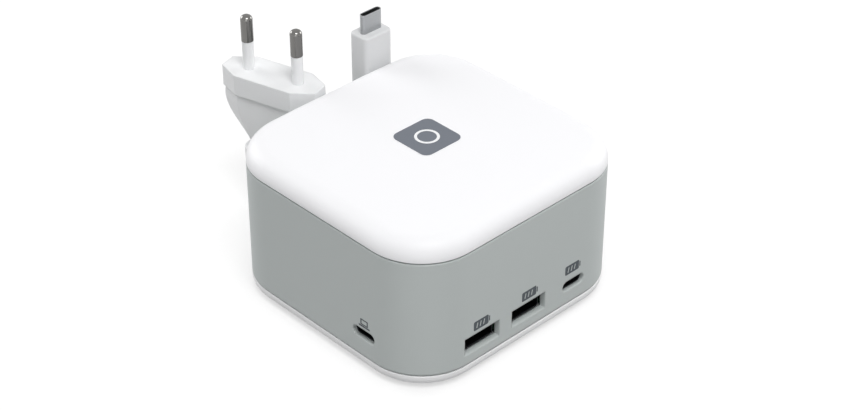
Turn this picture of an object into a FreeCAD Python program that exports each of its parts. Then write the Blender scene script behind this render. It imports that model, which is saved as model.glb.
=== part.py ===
"""Docking station: a soft square case with sockets round its band, two boards inside and two leads.

Millimetres. +Z is up, the front face looks along -Y, and the origin is on the surface that the
feet stand on, below the middle of the case.
"""
import FreeCAD, Part
import math
import os
import re
import Sketcher
from FreeCAD import Placement, Rotation, Vector

SIZES = [
    # Case
    ("case_width", "90", "case, from left to right"),
    ("case_depth", "88", "case, from front to rear"),
    ("corner_radius", "19.4", "upright corners of the case"),
    ("band_height", "41", "grey band between cap and tray"),
    ("band_wall", "2.2", "wall of the band"),
    ("cap_rise", "6.4", "cap above the band, at its sides"),
    ("cap_crown", "0.8", "further rise of the cap's middle"),
    ("cap_land", "0.15", "upright land between the seam and the cap's rounding"),
    ("cap_roof", "2", "roof of the cap"),
    ("tray_height", "3.8", "tray below the band"),
    ("tray_floor", "2", "floor of the tray"),
    ("tray_land", "0.85", "upright land between the seam and the tray's rounding"),
    ("lip_depth", "3", "locating lips of cap and tray inside the band"),
    ("lip_wall", "1.4", "wall of those lips"),
    ("fit_gap", "0.15", "clearance of a located fit"),
    ("seam_bevel", "0.2", "bevel of the cap's and the tray's edge at a seam"),
    ("seam_gap", "0.45", "open seam above and below the band"),
    ("seam_depth", "0.9", "depth of that open seam"),
    # Fastening
    ("foot_drop", "1", "feet below the tray"),
    ("foot_radius", "5", "rubber foot"),
    ("foot_recess", "0.8", "recess that holds a foot"),
    ("foot_bevel", "0.3", "bevel of a foot's lower edge"),
    ("post_inset", "12", "screw posts, in from the sides of the case"),
    ("post_radius", "3.2", "screw post of the cap"),
    ("boss_radius", "4.5", "screw boss of the tray"),
    ("boss_rise", "3.6", "screw boss above the tray's floor"),
    ("screw_radius", "1.45", "shank of a base screw"),
    ("screw_length", "10", "shank of a base screw"),
    ("screw_head_radius", "2.7", "head of a base screw"),
    ("screw_head", "1.8", "height of that head"),
    # Boards
    ("board_gap", "0.6", "board to the lip around it"),
    ("board_thick", "1.6", "circuit boards"),
    ("board_clear", "2", "power board above the network socket"),
    ("pillar_side", "31", "board pillars, in from the sides of the case"),
    ("pillar_inset", "22", "board pillars, in from the front and the rear of the case"),
    ("pillar_radius", "3", "board pillar of the tray"),
    ("stud_radius", "1.2", "studs and screws of the board spacers"),
    ("stud_length", "3", "stud below the hub board"),
    ("spacer_radius", "2.8", "hexagonal board spacer, across its corners"),
    ("power_margin", "9", "power board, in from the sides of the case"),
    # What stands on the boards
    ("chip_side", "9", "hub chip"),
    ("chip_height", "1", "hub chip"),
    ("chip_y", "4", "hub chip, behind the middle"),
    ("link_length", "18", "connector between the boards"),
    ("link_width", "2.5", "connector between the boards"),
    ("link_step", "4", "connector between the boards, behind the rear pillars"),
    ("core_length", "22", "ferrite frame of the transformer"),
    ("core_depth", "16", "ferrite frame of the transformer"),
    ("core_height", "17", "ferrite frame of the transformer"),
    ("core_leg", "4", "upright legs of that frame"),
    ("core_yoke", "3", "lower and upper yoke of that frame"),
    ("core_margin", "5", "transformer, in from the left edge of the power board"),
    ("core_clear", "3.6", "transformer, in front of the screws of the rear pillars"),
    ("coil_reach", "4", "coil past the frame, at either end"),
    ("can_radius", "6", "capacitor can"),
    ("can_height", "18", "capacitor can"),
    ("choke_radius", "6", "ring of the mains choke"),
    ("choke_wire", "2.5", "half the thickness of that ring"),
    ("sink_length", "34", "heat sink"),
    ("sink_depth", "9", "heat sink"),
    ("sink_height", "12", "heat sink's fins"),
    ("sink_plate", "2.5", "heat sink's plate"),
    ("sink_fin", "1.5", "heat sink's fin"),
    ("sink_margin", "11", "heat sink, in from the left edge of the power board"),
    # Sockets
    ("socket_gap", "0.2", "socket behind the wall that it looks through"),
    ("socket_rise", "7", "middle of the front sockets above the band's lower edge"),
    ("host_rise", "8.4", "middle of the host socket above the band's lower edge"),
    ("socket_post_gap", "3.6", "outer front socket to the screw post beside it"),
    ("host_place", "20", "host socket, forward of the middle of the left face"),
    ("usb_a_width", "13.2", "wide socket's shell"),
    ("usb_a_height", "5.8", "wide socket's shell"),
    ("usb_a_depth", "14", "wide socket's shell"),
    ("usb_a_wall", "0.34", "wide socket's sheet"),
    ("usb_a_tongue", "11.1", "wide socket's tongue"),
    ("usb_a_tongue_thick", "1.84", "wide socket's tongue"),
    ("usb_a_tip", "2", "wide socket's tongue behind the mouth"),
    ("usb_a_root", "9.2", "wide socket's block behind the mouth"),
    ("contact_width", "1", "contact of the wide socket"),
    ("contact_length", "6", "contact of the wide socket"),
    ("contact_thick", "0.2", "contact of the wide socket"),
    ("contact_pitch", "2.33", "contacts of the wide socket, from one to the next"),
    ("usb_a_cut_width", "14.4", "wide cut-out in the band"),
    ("usb_a_cut_height", "6.1", "wide cut-out in the band"),
    ("usb_c_width", "8.94", "oval socket's shell"),
    ("usb_c_height", "3.16", "oval socket's shell"),
    ("usb_c_depth", "7.3", "oval socket's shell"),
    ("usb_c_wall", "0.3", "oval socket's sheet"),
    ("usb_c_recess", "1.3", "oval socket's mouth behind the outer face"),
    ("usb_c_tongue", "6.7", "oval socket's tongue"),
    ("usb_c_tongue_thick", "0.7", "oval socket's tongue"),
    ("usb_c_tip", "0.9", "oval socket's tongue behind the mouth"),
    ("usb_c_root", "5.2", "oval socket's block behind the mouth"),
    ("usb_c_cut_width", "9.4", "oval cut-out in the band"),
    ("usb_c_cut_height", "3.7", "oval cut-out in the band"),
    ("display_place", "12", "display socket, behind the middle of the right face"),
    ("display_width", "15", "display socket's shell"),
    ("display_height", "5.6", "display socket's shell"),
    ("display_depth", "11.5", "display socket's shell"),
    ("display_wall", "0.4", "display socket's sheet"),
    ("display_bevel", "1.9", "sloped lower corners of the display socket"),
    ("display_tongue", "10.2", "display socket's tongue"),
    ("display_tongue_thick", "1.1", "display socket's tongue"),
    ("display_tongue_rise", "0.4", "display socket's tongue above the middle"),
    ("display_tip", "2", "display socket's tongue behind the mouth"),
    ("display_root", "8.5", "display socket's block behind the mouth"),
    ("network_place", "13", "network socket, forward of the middle of the right face"),
    ("network_width", "16", "network socket"),
    ("network_height", "13.4", "network socket"),
    ("network_depth", "21", "network socket"),
    ("network_mouth", "11.8", "mouth of the network socket"),
    ("network_mouth_height", "6.8", "mouth of the network socket"),
    ("network_mouth_low", "4", "mouth of the network socket above its underside"),
    ("network_latch", "6.4", "slot for the plug's latch below that mouth"),
    ("network_latch_height", "2.6", "slot for the plug's latch"),
    ("network_hollow", "13", "depth of mouth and slot"),
    ("wire_thick", "0.4", "contact of the network socket"),
    ("wire_length", "8", "contact of the network socket"),
    ("wire_pitch", "1.02", "contacts of the network socket, from one to the next"),
    ("cut_gap", "0.4", "cut-out round a socket of the right face"),
    # Cord glands
    ("gland_rise", "8.2", "mains gland above the band's lower edge"),
    ("mains_place", "11", "mains gland, right of the middle of the rear wall"),
    ("gland_radius", "3.6", "mains gland, in the wall"),
    ("gland_flange", "1.2", "flange of a gland, past its hole"),
    ("gland_flange_thick", "1.3", "flange of a gland"),
    ("gland_collar", "0.8", "collar of a gland past its hole, outside the wall"),
    ("gland_collar_length", "2", "collar of a gland"),
    ("gland_groove", "0.5", "depth of the grooves between a gland's ribs"),
    ("gland_skin", "0.7", "end of a gland's tail round its cord"),
    ("gland_tail", "16", "tapered tail of the mains gland"),
    ("cord_radius", "2.3", "mains cord"),
    ("lead_gland_rise", "7.2", "lead gland above the band's lower edge"),
    ("lead_place", "0.5", "lead gland, left of the middle of the rear wall"),
    ("lead_gland_radius", "2.6", "lead gland, in the wall"),
    ("lead_gland_tail", "10", "tapered tail of the lead gland"),
    ("lead_radius", "1.6", "lead to the computer"),
    # Hank of the mains cord, beside the case
    ("hank_gap", "1.5", "hank to the right face of the case"),
    ("hank_place", "37", "middle of the hank, behind the middle of the case"),
    ("hank_run", "58", "straight runs of the hank"),
    ("hank_fold", "13.8", "radius of the hank's folds, at the middle of the cord"),
    ("tie_wall", "0.8", "strap of the hank's tie"),
    ("tie_width", "8", "strap of the hank's tie"),
    # Mains plug, upright behind the case
    ("plug_gap", "0.35", "plugs to the rear wall"),
    ("plug_left", "8", "mains plug, left of the middle"),
    ("plug_turn", "16 deg", "mains plug, turned from square with the rear wall"),
    ("plug_face", "51", "face of the mains plug above the surface"),
    ("plug_width", "35.3", "face of the mains plug"),
    ("plug_thick", "13.7", "face of the mains plug"),
    ("plug_flat", "21", "broad sides of that face, between its sloped corners"),
    ("plug_end", "6", "narrow ends of that face"),
    ("plug_head", "7.3", "head below the face"),
    ("plug_step", "0.8", "step between head and grip"),
    ("plug_grip", "20.7", "tapered grip below the head"),
    ("plug_waist", "15", "lower end of the grip"),
    ("plug_waist_thick", "10.4", "lower end of the grip"),
    ("ear_width", "21", "ears below the grip"),
    ("ear_height", "5", "ears below the grip"),
    ("ear_edge", "3.1", "upright edges of the ears"),
    ("relief_length", "7", "ribbed strain relief below the ears"),
    ("relief_radius", "4.4", "upper end of that relief"),
    ("relief_groove", "0.7", "grooves of that relief"),
    ("pin_pitch", "18.6", "pins, from one to the other"),
    ("pin_length", "19", "pin above the face"),
    ("pin_radius", "2", "bare end of a pin"),
    ("pin_round", "1.4", "rounded tip of a pin"),
    ("sleeve_length", "10", "insulated foot of a pin"),
    ("sleeve_radius", "1.9", "insulated foot of a pin"),
    # Plug of the lead, upright behind the case
    ("tip_right", "21.5", "lead's plug, right of the middle"),
    ("tip_width", "8.25", "metal tip of the lead's plug"),
    ("tip_thick", "2.4", "metal tip of the lead's plug"),
    ("tip_length", "6.65", "metal tip of the lead's plug"),
    ("tip_wall", "0.3", "sheet of that tip"),
    ("tip_hollow", "5.6", "depth of that tip"),
    ("boot_top", "61.4", "top of the boot above the surface"),
    ("boot_width", "11.5", "boot of the lead's plug"),
    ("boot_thick", "8", "boot of the lead's plug"),
    ("boot_length", "29", "boot of the lead's plug"),
    ("boot_edge", "1.6", "upright edges of the boot"),
    ("boot_rim", "0.6", "upper and lower edges of the boot"),
    ("neck_radius", "3.4", "neck below the boot"),
    ("neck_length", "9", "neck below the boot"),
    ("neck_straight", "5.4", "straight part of that neck"),
]

# Levels and places that several pieces share, worked out from the sheet
BAND_LOW = "(foot_drop + tray_height)"
BAND_TOP = f"({BAND_LOW} + band_height)"
FLOOR_TOP = "(foot_drop + tray_floor)"
BOSS_TOP = f"({FLOOR_TOP} + boss_rise)"
CAP_EDGE = "(cap_rise - seam_bevel - cap_land)"
TRAY_EDGE = "(tray_height - seam_bevel - tray_land)"
POST_X = "(case_width / 2 - post_inset)"
POST_Y = "(case_depth / 2 - post_inset)"
PILLAR_X = "(case_width / 2 - pillar_side)"
PILLAR_Y = "(case_depth / 2 - pillar_inset)"
ROOF_LOW = f"({BAND_TOP} + cap_rise - cap_roof)"
SOCKET_LEVEL = f"({BAND_LOW} + socket_rise)"
HUB_TOP = f"({SOCKET_LEVEL} - usb_a_height / 2)"
HUB_LOW = f"({HUB_TOP} - board_thick)"
SPACER_HEIGHT = "(network_height + board_clear)"
POWER_LOW = f"({HUB_TOP} + {SPACER_HEIGHT})"
POWER_TOP = f"({POWER_LOW} + board_thick)"
LIP_INSET = "(band_wall + fit_gap + lip_wall)"
FRONT_MOUTH = "(-case_depth / 2 + band_wall + socket_gap)"
SIDE_MOUTH = "(case_width / 2 - band_wall - socket_gap)"
OVAL_FRONT = "(-case_depth / 2 + usb_c_recess)"
OVAL_LEFT = "(-case_width / 2 + usb_c_recess)"
BOARD_INSET = f"({LIP_INSET} + board_gap)"
FRONT_PITCH = f"({POST_X} - post_radius - socket_post_gap - usb_a_width / 2)"
BOARD_LEFT = "(case_width / 2 - power_margin)"
SCREW_FRONT = f"({PILLAR_Y} - 2 * stud_radius)"
PLUG_Y = "(case_depth / 2 + plug_gap + (plug_width * cos(plug_turn) + plug_end * sin(plug_turn)) / 2)"
BOOT_Y = "(case_depth / 2 + plug_gap + boot_thick / 2)"
HANK_HEIGHT = "(6 * cord_radius)"

# Rounding of a flat oval's ends, as a share of its height: a whole half would leave no straight edge
OVAL_END = 0.49

# Arcs of a lead take this share of the runs on either side of a corner
ARC_SHARE = 0.45

# The plug's grip: share of its length, and of its taper across and through
GRIP = [(0, 0, 0), (0.36, 0.06, 0), (0.76, 0.67, 0.5), (1, 1, 1)]

# Routes of the two leads: the points where their straight runs would meet, from gland to plug
MAINS_NEAR = [
    (11, 60, 13), (11, 67.6, 13), (13.2, 75.3, 12), (18.1, 81.7, 9.6), (25.3, 86.3, 6.6),
    (34, 88.1, 4), (43, 87.1, 2.9), (52, 83.4, 3), (61, 78.4, 3.3),
]
MAINS_FAR = [
    (51, 46, 12), (49.6, 55.5, 12), (45.6, 64.2, 11.1), (39, 71.4, 8.6), (30.2, 76.2, 5.4),
    (20.2, 77.9, 2.8), (10.2, 76.5, 2.3), (1.5, 72.2, 2.3), (-5.2, 65.2, 2.4), (-8, 62.14, 6.4),
    (-8, 62.14, 11),
]
LEAD = [
    (-0.5, 54, 12), (-0.5, 61, 12), (3.4, 66.9, 9.3), (10.3, 69.5, 5.7), (17.3, 67.2, 2.6), (21.3, 61.2, 1.7),
    (21.8, 54.4, 2.8), (21.5, 49.8, 8), (21.5, 48.35, 14.8), (21.5, 48.35, 23.4),
]

doc = FreeCAD.newDocument("docking_station")
sizes = doc.addObject("Spreadsheet::Sheet", "sizes")
for row, (name, number, note) in enumerate(SIZES, 1):
    sizes.set(f"A{row}", note)
    sizes.set(f"B{row}", number)
    sizes.setAlias(f"B{row}", name)
doc.recompute()

nodes = []


def formula(text):
    """A formula in the sheet's words, as an expression that other objects can hold."""
    return re.sub(r"\b(?!sin\b|cos\b)[a-z][a-z_]*", lambda word: "sizes." + word.group(), text)


def bind(thing, prop, text):
    thing.setExpression(prop, formula(text))


def number_of(thing, text):
    """The present value of a formula."""
    return float(thing.evalExpression(formula(text)))


def new_body(label):
    body = doc.addObject("PartDesign::Body", label)
    body.Label = label
    nodes.append(body)
    return body


def place(thing, x="0", y="0", z="0", turn=0.0):
    """Sets a sub-part at x, y and z, turned about +Z."""
    thing.Placement = Placement(Vector(), Rotation(Vector(0, 0, 1), turn))
    for axis, text in zip("xyz", (x, y, z)):
        bind(thing, "Placement.Base." + axis, text)
    return thing


def new_sketch(body, name, role, z="0", x="0", y="0"):
    """A sketch on one of the body's own planes, moved along the plane's axes."""
    sketch = body.newObject("Sketcher::SketchObject", f"{body.Name}_{name}")
    plane = next(p for p in body.Origin.OriginFeatures if p.Role == role)
    sketch.AttachmentSupport = (plane, [""])
    sketch.MapMode = "FlatFace"
    for axis, text in zip("xyz", (x, y, z)):
        bind(sketch, "AttachmentOffset.Base." + axis, text)
    return sketch


def constrain(sketch, kind, *where, text=None):
    """Adds a constraint, with a formula where it has a size."""
    if text is None:
        sketch.addConstraint(Sketcher.Constraint(kind, *where))
        return
    index = sketch.addConstraint(Sketcher.Constraint(kind, *where, number_of(sketch, text)))
    bind(sketch, f"Constraints[{index}]", text)


def rectangle(sketch, width, height):
    """A rectangle about the sketch's origin."""
    a, b = number_of(sketch, width) / 2, number_of(sketch, height) / 2
    corners = [Vector(-a, -b), Vector(a, -b), Vector(a, b), Vector(-a, b)]
    first = sketch.GeometryCount
    for i in range(4):
        sketch.addGeometry(Part.LineSegment(corners[i], corners[(i + 1) % 4]))
    for i in range(4):
        constrain(sketch, "Coincident", first + i, 2, first + (i + 1) % 4, 1)
        constrain(sketch, "Horizontal" if i % 2 == 0 else "Vertical", first + i)
    constrain(sketch, "Symmetric", first, 1, first + 2, 1, -1, 1)
    constrain(sketch, "DistanceX", first, 1, first, 2, text=width)
    constrain(sketch, "DistanceY", first + 1, 1, first + 1, 2, text=height)


def rounded(sketch, width, height, radius):
    """A rectangle with round corners about the sketch's origin."""
    a, b, r = (number_of(sketch, text) for text in (f"({width}) / 2", f"({height}) / 2", radius))
    centres = [(a - r, r - b), (a - r, b - r), (r - a, b - r), (r - a, r - b)]
    ends = [(r - a, -b, a - r, -b), (a, r - b, a, b - r), (a - r, b, r - a, b), (-a, b - r, -a, r - b)]
    quarter = math.pi / 2
    first = sketch.GeometryCount
    for i in range(4):
        x1, y1, x2, y2 = ends[i]
        circle = Part.Circle(Vector(*centres[i]), Vector(0, 0, 1), r)
        sketch.addGeometry(Part.LineSegment(Vector(x1, y1), Vector(x2, y2)))
        sketch.addGeometry(Part.ArcOfCircle(circle, (i - 1) * quarter, i * quarter))
    for i in range(8):
        constrain(sketch, "Tangent", first + i, 2, first + (i + 1) % 8, 1)
    for i in range(4):
        constrain(sketch, "Horizontal" if i % 2 == 0 else "Vertical", first + 2 * i)
    for i in range(1, 4):
        constrain(sketch, "Equal", first + 1, first + 2 * i + 1)
    constrain(sketch, "Radius", first + 1, text=radius)
    constrain(sketch, "Symmetric", first, 1, first + 4, 1, -1, 1)
    constrain(sketch, "DistanceX", first + 6, 1, first + 2, 1, text=width)
    constrain(sketch, "DistanceY", first, 1, first + 4, 1, text=height)


def circle_at_origin(sketch, radius):
    index = sketch.addGeometry(Part.Circle(Vector(), Vector(0, 0, 1), number_of(sketch, radius)))
    constrain(sketch, "Coincident", index, 3, -1, 1)
    constrain(sketch, "Radius", index, text=radius)


def four_circles(sketch, radius, x, y):
    """The same circle in all four quarters of the sketch."""
    a, b, r = (number_of(sketch, text) for text in (x, y, radius))
    first = sketch.GeometryCount
    for i, (cx, cy) in enumerate([(a, b), (-a, b), (-a, -b), (a, -b)]):
        sketch.addGeometry(Part.Circle(Vector(cx, cy), Vector(0, 0, 1), r))
        if i:
            constrain(sketch, "Equal", first, first + i)
    constrain(sketch, "Radius", first, text=radius)
    constrain(sketch, "DistanceX", -1, 1, first, 3, text=x)
    constrain(sketch, "DistanceY", -1, 1, first, 3, text=y)
    constrain(sketch, "Symmetric", first, 3, first + 1, 3, -2)
    constrain(sketch, "Symmetric", first, 3, first + 2, 3, -1, 1)
    constrain(sketch, "Symmetric", first, 3, first + 3, 3, -1)


def profile(sketch, points):
    """A closed outline of straight lines; each point is a pair of formulas from the sketch's origin."""
    spots = [Vector(number_of(sketch, x), number_of(sketch, y)) for x, y in points]
    count = len(points)
    first = sketch.GeometryCount
    for i in range(count):
        sketch.addGeometry(Part.LineSegment(spots[i], spots[(i + 1) % count]))
    for i in range(count):
        constrain(sketch, "Coincident", first + i, 2, first + (i + 1) % count, 1)
    for i, (x, y) in enumerate(points):
        for kind, text, value, axis in (("DistanceX", x, spots[i].x, -2), ("DistanceY", y, spots[i].y, -1)):
            if abs(value) < 1e-9:
                constrain(sketch, "PointOnObject", first + i, 1, axis)
            elif value > 0:
                constrain(sketch, kind, -1, 1, first + i, 1, text=text)
            else:
                constrain(sketch, kind, first + i, 1, -1, 1, text=f"-({text})")


def solid_step(body, kind, sketch, length, reverse):
    feature = body.newObject("PartDesign::" + kind, f"{sketch.Name}_{kind.lower()}")
    feature.Profile = sketch
    bind(feature, "Length", length)
    feature.Reversed = reverse
    doc.recompute()
    return feature


def pad(body, sketch, length, reverse=False):
    return solid_step(body, "Pad", sketch, length, reverse)


def pocket(body, sketch, length, reverse=False):
    """Cuts the sketch out, and makes sure that something was cut."""
    before = body.Shape.Volume
    feature = solid_step(body, "Pocket", sketch, length, reverse)
    if body.Shape.Volume > before - 1e-6:
        raise RuntimeError(sketch.Name + " cuts nothing")
    return feature


def turned(body, name, points):
    """A solid of revolution about the sketch's upright axis."""
    sketch = new_sketch(body, name, "XZ_Plane")
    profile(sketch, points)
    feature = body.newObject("PartDesign::Revolution", f"{sketch.Name}_revolution")
    feature.Profile = sketch
    feature.ReferenceAxis = (sketch, ["V_Axis"])
    feature.Angle = 360
    doc.recompute()
    return feature


def edges_at(feature, level):
    """The feature's edges that lie flat at a level."""
    height = number_of(feature, level)
    flat = lambda edge: abs(edge.BoundBox.ZMin - height) < 1e-4 and abs(edge.BoundBox.ZMax - height) < 1e-4
    return [f"Edge{i}" for i, edge in enumerate(feature.Shape.Edges, 1) if flat(edge)]


def dress(body, kind, base, edges, prop, text):
    """A fillet or chamfer on edges of the body's last feature."""
    feature = body.newObject("PartDesign::" + kind, f"{base.Name}_{kind.lower()}")
    feature.Base = (base, edges)
    bind(feature, prop, text)
    doc.recompute()
    return feature


def case_outline(sketch, inset="0"):
    rounded(sketch, f"case_width - 2 * {inset}", f"case_depth - 2 * {inset}", f"corner_radius - {inset}")


def box(name, length, width, height, x="0", y="0", z="0"):
    """A block that stands on z, centred on x and y."""
    thing = doc.addObject("Part::Box", name)
    bind(thing, "Length", length)
    bind(thing, "Width", width)
    bind(thing, "Height", height)
    return place(thing, f"{x} - ({length}) / 2", f"{y} - ({width}) / 2", z)


def cylinder(name, radius, height, x="0", y="0", z="0"):
    thing = doc.addObject("Part::Cylinder", name)
    bind(thing, "Radius", radius)
    bind(thing, "Height", height)
    return place(thing, x, y, z)


def fuse(name, parts):
    thing = doc.addObject("Part::MultiFuse", name)
    thing.Shapes = parts
    return thing


def cut(name, base, tool):
    thing = doc.addObject("Part::Cut", name)
    thing.Base = base
    thing.Tool = tool
    return thing


def node(thing, label):
    """Names a finished sub-part."""
    thing.Label = label
    nodes.append(thing)
    return thing


def group(label, members):
    """Like pieces that share one sub-part as separate solids."""
    thing = doc.addObject("Part::Compound", label)
    thing.Links = members
    return node(thing, label)


def corners(x, y):
    """The four places at plus and minus x and y."""
    return [(sx + x, sy + y) for sx in ("", "-") for sy in ("", "-")]


def add_side_band():
    """Sleeve round the case, with a cut-out for each socket and gland."""
    body = new_body("side_band")
    outline = new_sketch(body, "outline", "XY_Plane", BAND_LOW)
    case_outline(outline)
    pad(body, outline, "band_height")
    inside = new_sketch(body, "inside", "XY_Plane", BAND_LOW)
    case_outline(inside, "band_wall")
    pocket(body, inside, "band_height", True)
    for name, level in (("lower_seam", BAND_LOW), ("upper_seam", BAND_TOP)):
        seam = new_sketch(body, name, "XY_Plane", level)
        case_outline(seam, "(-seam_gap)")
        case_outline(seam, "seam_depth")
        pocket(body, seam, "seam_gap", level == BAND_LOW)
    front = [("usb_a_1", f"-{FRONT_PITCH}"), ("usb_a_2", "0"), ("usb_c", FRONT_PITCH)]
    for name, x in front:
        kind = name[:5]
        sketch = new_sketch(body, name, "XZ_Plane", x=x, y=SOCKET_LEVEL)
        socket_outline(sketch, f"{kind}_cut_width", f"{kind}_cut_height", kind == "usb_c")
        pocket(body, sketch, "case_depth", True)
    host = new_sketch(body, "host", "YZ_Plane", x="-host_place", y=f"{BAND_LOW} + host_rise")
    socket_outline(host, "usb_c_cut_width", "usb_c_cut_height", True)
    pocket(body, host, "case_width")
    display = new_sketch(body, "display", "YZ_Plane", x="display_place", y=f"{HUB_TOP} + display_height / 2")
    rectangle(display, "display_width + 2 * cut_gap", "display_height + 2 * cut_gap")
    pocket(body, display, "case_width", True)
    network = new_sketch(body, "network", "YZ_Plane", x="-network_place", y=f"{HUB_TOP} + network_height / 2")
    rectangle(network, "network_width + 2 * cut_gap", "network_height + 2 * cut_gap")
    pocket(body, network, "case_width", True)
    glands = [
        ("mains", "mains_place", "gland_rise", "gland_radius"),
        ("lead", "-lead_place", "lead_gland_rise", "lead_gland_radius"),
    ]
    for name, x, rise, radius in glands:
        hole = new_sketch(body, name, "XZ_Plane", x=x, y=f"{BAND_LOW} + {rise}")
        circle_at_origin(hole, f"{radius} + fit_gap")
        pocket(body, hole, "case_depth")


def socket_outline(sketch, width, height, oval):
    """Mouth of a socket: a sharp rectangle or a flat oval."""
    if oval:
        rounded(sketch, width, height, f"{OVAL_END} * ({height})")
    else:
        rectangle(sketch, width, height)


def add_top_cap():
    """Cap with a crowned roof, a soft edge, a lip and four screw posts."""
    body = new_body("top_cap")
    outline = new_sketch(body, "outline", "XY_Plane", BAND_TOP)
    case_outline(outline)
    pad(body, outline, "cap_rise + 2 * cap_crown")
    domed = crown_cut(body)
    rim = number_of(domed, BAND_TOP) + 0.5 * number_of(domed, "cap_rise")
    upper = [
        f"Edge{i}"
        for i, edge in enumerate(domed.Shape.Edges, 1)
        if edge.BoundBox.ZMin > rim
    ]
    soft = dress(body, "Fillet", domed, upper, "Radius", CAP_EDGE)
    dress(body, "Chamfer", soft, edges_at(soft, BAND_TOP), "Size", "seam_bevel")
    inside = new_sketch(body, "inside", "XY_Plane", BAND_TOP)
    case_outline(inside, LIP_INSET)
    pocket(body, inside, "cap_rise - cap_roof", True)
    lip = new_sketch(body, "lip", "XY_Plane", BAND_TOP)
    case_outline(lip, "(band_wall + fit_gap)")
    case_outline(lip, LIP_INSET)
    pad(body, lip, "lip_depth", True)
    posts = new_sketch(body, "posts", "XY_Plane", BOSS_TOP)
    four_circles(posts, "post_radius", POST_X, POST_Y)
    pad(body, posts, f"{ROOF_LOW} - {BOSS_TOP} + cap_roof / 2")
    bores = new_sketch(body, "bores", "XY_Plane", BOSS_TOP)
    four_circles(bores, "screw_radius + fit_gap / 3", POST_X, POST_Y)
    pocket(body, bores, "screw_length", True)


def crown_cut(body):
    """Turns the block's top into a shallow dome that drops by the crown at the case's sides."""
    reach = "(case_width + case_depth) / 2"
    dome = "((case_width * case_width / 4 + cap_crown * cap_crown) / (2 * cap_crown))"
    top = f"({BAND_TOP} + cap_rise + cap_crown)"
    sketch = new_sketch(body, "crown", "XZ_Plane", y=top)
    r, x = number_of(sketch, dome), number_of(sketch, reach)
    drop = r - (r * r - x * x) ** 0.5
    start, end = Vector(0, 0), Vector(x, -drop)
    middle = Vector(x / 2, (r * r - x * x / 4) ** 0.5 - r)
    above = Vector(x, 1)
    sketch.addGeometry(Part.Arc(start, middle, end))
    sketch.addGeometry(Part.LineSegment(end, above))
    sketch.addGeometry(Part.LineSegment(above, Vector(0, 1)))
    sketch.addGeometry(Part.LineSegment(Vector(0, 1), start))
    feature = body.newObject("PartDesign::Groove", f"{sketch.Name}_groove")
    feature.Profile = sketch
    feature.ReferenceAxis = (sketch, ["V_Axis"])
    feature.Angle = 360
    doc.recompute()
    return feature


def add_base_tray():
    """Tray with a lip, bosses for the base screws, recesses for the feet and pillars for the boards."""
    body = new_body("base_tray")
    outline = new_sketch(body, "outline", "XY_Plane", "foot_drop")
    case_outline(outline)
    block = pad(body, outline, "tray_height")
    soft = dress(body, "Fillet", block, edges_at(block, "foot_drop"), "Radius", TRAY_EDGE)
    dress(body, "Chamfer", soft, edges_at(soft, BAND_LOW), "Size", "seam_bevel")
    inside = new_sketch(body, "inside", "XY_Plane", BAND_LOW)
    case_outline(inside, LIP_INSET)
    pocket(body, inside, "tray_height - tray_floor")
    lip = new_sketch(body, "lip", "XY_Plane", BAND_LOW)
    case_outline(lip, "(band_wall + fit_gap)")
    case_outline(lip, LIP_INSET)
    pad(body, lip, "lip_depth")
    sunk = "tray_floor / 2"
    raised = [
        ("bosses", "boss_radius", POST_X, POST_Y, BOSS_TOP),
        ("pillars", "pillar_radius", PILLAR_X, PILLAR_Y, HUB_LOW),
    ]
    for name, radius, x, y, top in raised:
        sketch = new_sketch(body, name, "XY_Plane", f"{FLOOR_TOP} - {sunk}")
        four_circles(sketch, radius, x, y)
        pad(body, sketch, f"{top} - {FLOOR_TOP} + {sunk}")
    bored = [
        ("recesses", "foot_radius + fit_gap", "foot_recess"),
        ("seats", "screw_head_radius + fit_gap", "foot_recess + screw_head"),
        ("holes", "screw_radius + fit_gap", "tray_floor + boss_rise"),
    ]
    for name, radius, depth in bored:
        sketch = new_sketch(body, name, "XY_Plane", "foot_drop")
        four_circles(sketch, radius, POST_X, POST_Y)
        pocket(body, sketch, depth, True)
    studs = new_sketch(body, "studs", "XY_Plane", HUB_LOW)
    four_circles(studs, "stud_radius + fit_gap / 3", PILLAR_X, PILLAR_Y)
    pocket(body, studs, "stud_length")


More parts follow.
